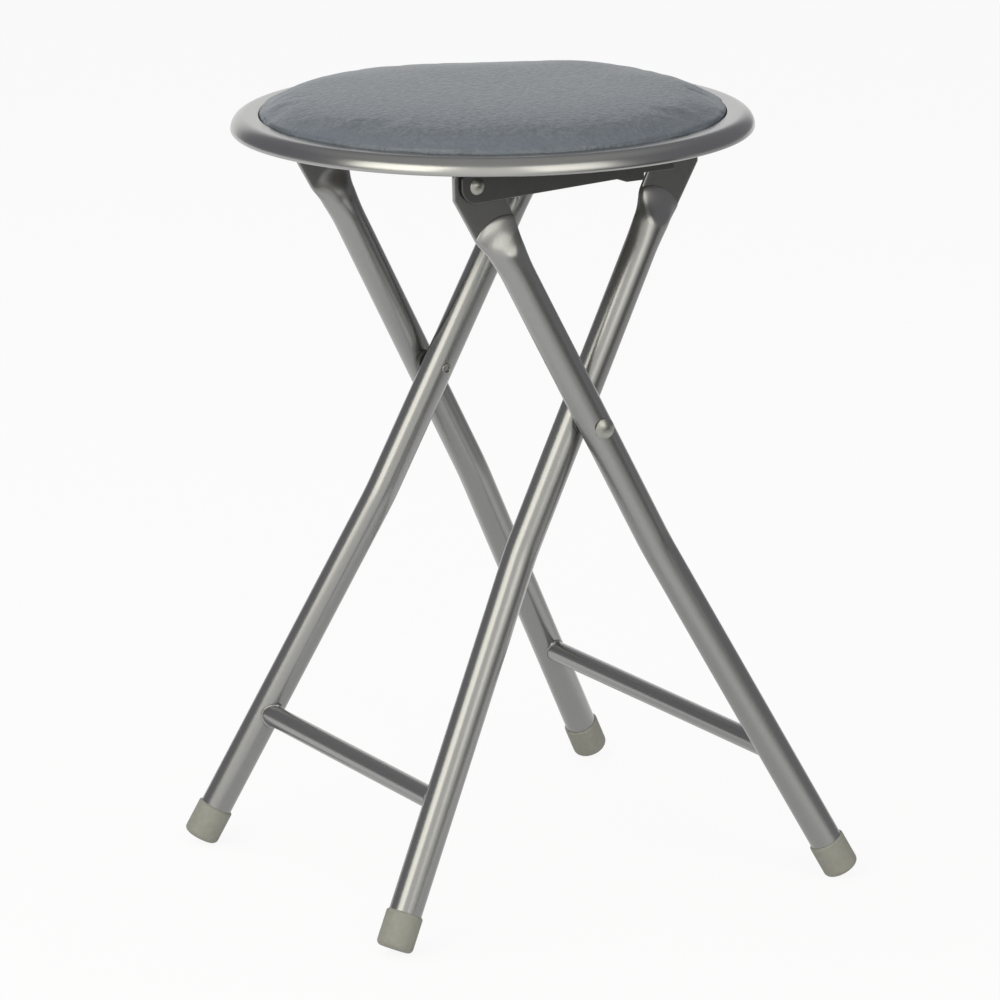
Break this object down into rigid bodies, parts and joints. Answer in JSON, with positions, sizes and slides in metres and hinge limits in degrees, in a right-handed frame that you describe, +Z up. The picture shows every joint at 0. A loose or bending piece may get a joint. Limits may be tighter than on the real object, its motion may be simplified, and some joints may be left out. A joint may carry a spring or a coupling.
{
  "type": "folding stool",
  "caption": "Folding stool with crossed tube legs, rubber feet and a round padded seat that tips up to fold flat.",
  "frame": {"origin": "on the floor, at the middle of the stool's box, straight under the leg rivets", "axes": "+Z up; +Y along the hinge axes, from the near pair of legs to the far pair; +X from the seat rivets to the cross rod"},
  "size_m": [0.311, 0.3, 0.4635],
  "materials": {
    "silver_paint": "metallic silver powder coat, satin",
    "zinc_steel": "zinc plated",
    "cap_rubber": "matt warm grey",
    "washer_nylon": "dark nylon",
    "plywood": "raw plywood",
    "foam": "open-cell foam",
    "pvc_cover": "blue-grey PVC leatherette, fine pebble"
  },
  "bodies": {
    "outer_frame": {"outer_leg_near": "silver_paint", "outer_leg_far": "silver_paint", "outer_crossbar": "silver_paint", "outer_foot_near": "cap_rubber", "outer_foot_far": "cap_rubber", "seat_rivet_near": "zinc_steel", "seat_rivet_far": "zinc_steel", "seat_washer_near": "washer_nylon", "seat_washer_far": "washer_nylon"},
    "inner_frame": {"inner_leg_near": "silver_paint", "inner_leg_far": "silver_paint", "inner_crossbar": "silver_paint", "inner_foot_near": "cap_rubber", "inner_foot_far": "cap_rubber", "cross_rod": "zinc_steel", "leg_rivet_near": "zinc_steel", "leg_rivet_far": "zinc_steel", "leg_spacer_near": "washer_nylon", "leg_spacer_far": "washer_nylon"},
    "seat": {"seat_rim": "silver_paint", "seat_board": "plywood", "seat_foam": "foam", "seat_cover": "pvc_cover", "seat_rail_near": "silver_paint", "seat_rail_far": "silver_paint", "rod_catch_near": "silver_paint", "rod_catch_far": "silver_paint", "rim_screws": "zinc_steel", "rail_screws": "zinc_steel", "catch_screws": "zinc_steel"}
  },
  "joints": [
    {"name": "leg_pivot", "type": "hinge", "parent": "outer_frame", "child": "inner_frame", "pos_m": [0, 0, 0.2835], "axis": [0, -1, 0], "range_deg": [0, 50]},
    {"name": "seat_hinge", "type": "hinge", "parent": "outer_frame", "child": "seat", "pos_m": [-0.07566, 0, 0.42866], "axis": [0, -1, 0], "range_deg": [0, 100]}
  ],
  "couplings": [
    {"joint": "seat_hinge", "follows": "leg_pivot", "ratio": 2}
  ]
}
